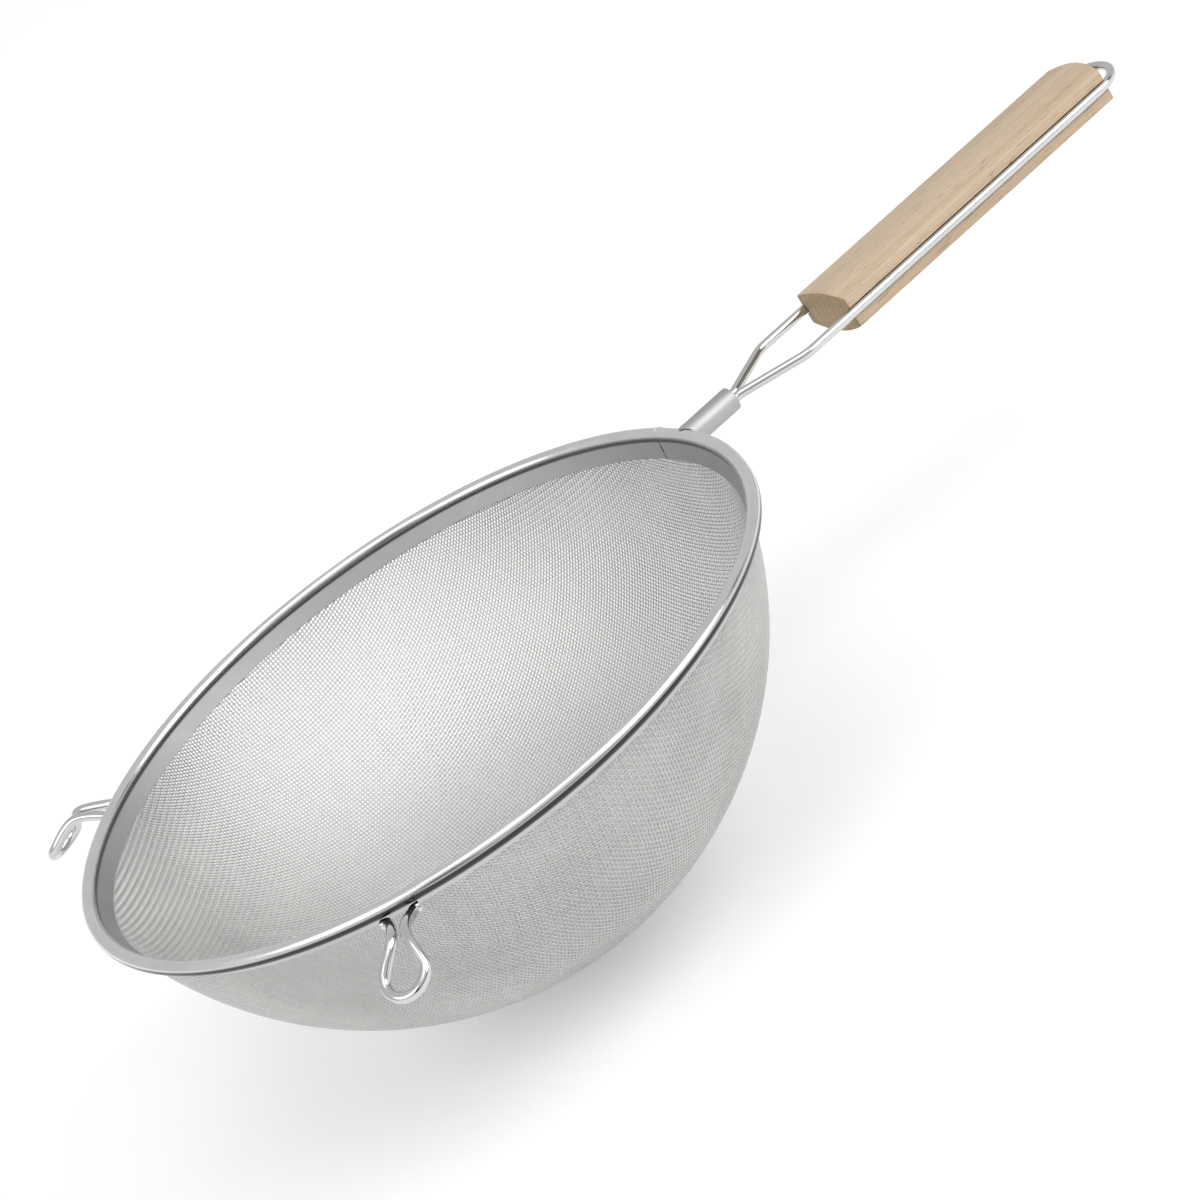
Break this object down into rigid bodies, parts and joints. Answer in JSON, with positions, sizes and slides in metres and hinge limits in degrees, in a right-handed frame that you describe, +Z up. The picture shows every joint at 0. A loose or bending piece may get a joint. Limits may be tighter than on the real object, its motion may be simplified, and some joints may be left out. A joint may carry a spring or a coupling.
{
  "type": "strainer",
  "caption": "Round-bottomed wire-mesh strainer with a rolled steel rim, bent-wire rest hooks and a looped wire handle that carries a wooden grip.",
  "frame": {"origin": "under the middle of the bowl, on the small flat that it stands on", "axes": "+Z up through the bowl's mouth, +X along the handle from the rim to the hanging loop"},
  "size_m": [0.4727, 0.2718, 0.1063],
  "materials": {
    "wire_cloth": "woven stainless wire, satin",
    "rim_steel": "polished stainless sheet",
    "bright_wire": "polished steel wire",
    "pale_wood": "sanded, unvarnished"
  },
  "bodies": {
    "root": {"mesh_bowl": "wire_cloth", "rim_band": "rim_steel", "rim_hoop_wire": "bright_wire", "rest_hook_left": "bright_wire", "rest_hook_right": "bright_wire", "handle_wire": "bright_wire", "neck_sleeve": "rim_steel", "wood_grip": "pale_wood"}
  },
  "joints": []
}
